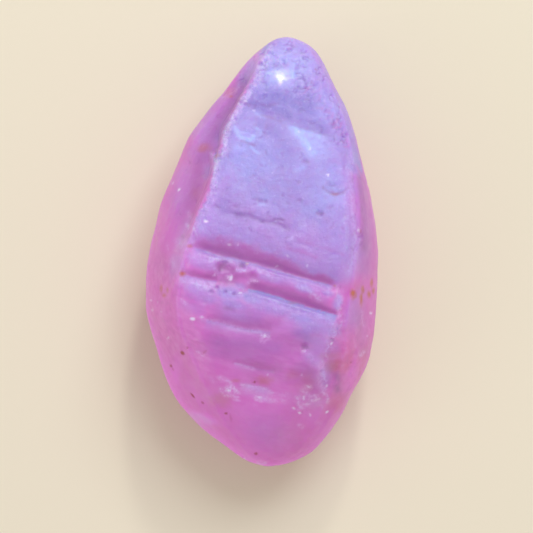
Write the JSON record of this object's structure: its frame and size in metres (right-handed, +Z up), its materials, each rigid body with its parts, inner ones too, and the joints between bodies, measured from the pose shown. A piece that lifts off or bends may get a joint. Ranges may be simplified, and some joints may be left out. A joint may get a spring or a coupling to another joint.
{
  "type": "rough gemstone crystal",
  "caption": "Rough pink sapphire crystal, pointed at both ends and worn smooth, with growth ledges across its broad upper face.",
  "frame": {"origin": "under the middle of the stone's length and width, on the plane that its flat worn back rests on", "axes": "+Y along the stone towards its sharper tip, +Z up out of the broad striated face, +X to the right seen from above with the sharper tip away from the viewer"},
  "size_m": [0.0086, 0.016, 0.0062],
  "materials": {
    "sapphire": "frosted satin, milky pink and translucent"
  },
  "bodies": {
    "root": {"sapphire_crystal": "sapphire"}
  },
  "joints": []
}
